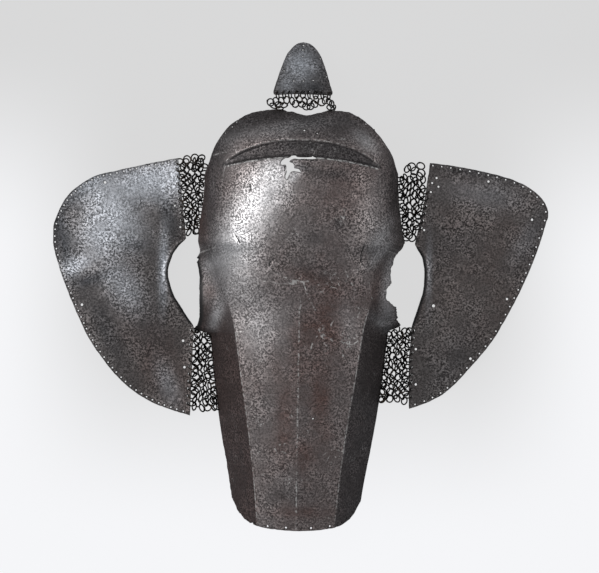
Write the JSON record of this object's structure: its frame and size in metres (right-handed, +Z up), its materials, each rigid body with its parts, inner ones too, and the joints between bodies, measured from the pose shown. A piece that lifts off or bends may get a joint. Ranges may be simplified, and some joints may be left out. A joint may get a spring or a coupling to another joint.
{
  "type": "horse head armour",
  "caption": "Steel horse head armour laid open: a long ridged face plate, two cheek plates and a small poll plate, joined by panels of mail.",
  "frame": {"origin": "bottom centre of the whole object's box, on the surface that it lies on", "axes": "+Z up, out of the outer face; +Y towards the poll, at the top of the horse's head; +X towards the cheek plate on the right as seen from above"},
  "size_m": [0.6316, 0.6196, 0.1085],
  "materials": {
    "face_steel": "old pitted steel with a dark brown patina and bright rubbed ridges",
    "side_steel": "old pitted steel with a grey patina",
    "mail_steel": "blackened old steel wire"
  },
  "bodies": {
    "root": {"cheek_plate_left": "side_steel", "cheek_plate_right": "side_steel", "face_plate": "face_steel", "mail_lower_left": "mail_steel", "mail_lower_right": "mail_steel", "mail_poll": "mail_steel", "mail_upper_left": "mail_steel", "mail_upper_right": "mail_steel", "poll_plate": "side_steel", "ring_lower_left_cheek_1": "mail_steel", "ring_lower_left_cheek_2": "mail_steel", "ring_lower_left_cheek_3": "mail_steel", "ring_lower_left_cheek_4": "mail_steel", "ring_lower_left_face_1": "mail_steel", "ring_lower_left_face_2": "mail_steel", "ring_lower_left_face_3": "mail_steel", "ring_lower_left_face_4": "mail_steel", "ring_lower_right_cheek_1": "mail_steel", "ring_lower_right_cheek_2": "mail_steel", "ring_lower_right_cheek_3": "mail_steel", "ring_lower_right_cheek_4": "mail_steel", "ring_lower_right_face_1": "mail_steel", "ring_lower_right_face_2": "mail_steel", "ring_lower_right_face_3": "mail_steel", "ring_lower_right_face_4": "mail_steel", "ring_poll_face_1": "mail_steel", "ring_poll_face_2": "mail_steel", "ring_poll_face_3": "mail_steel", "ring_poll_plate_1": "mail_steel", "ring_poll_plate_2": "mail_steel", "ring_poll_plate_3": "mail_steel", "ring_poll_plate_4": "mail_steel", "ring_poll_plate_5": "mail_steel", "ring_upper_left_cheek_1": "mail_steel", "ring_upper_left_cheek_2": "mail_steel", "ring_upper_left_cheek_3": "mail_steel", "ring_upper_left_face_1": "mail_steel", "ring_upper_left_face_2": "mail_steel", "ring_upper_left_face_3": "mail_steel", "ring_upper_right_cheek_1": "mail_steel", "ring_upper_right_cheek_2": "mail_steel", "ring_upper_right_cheek_3": "mail_steel", "ring_upper_right_face_1": "mail_steel", "ring_upper_right_face_2": "mail_steel", "ring_upper_right_face_3": "mail_steel"}
  },
  "joints": []
}
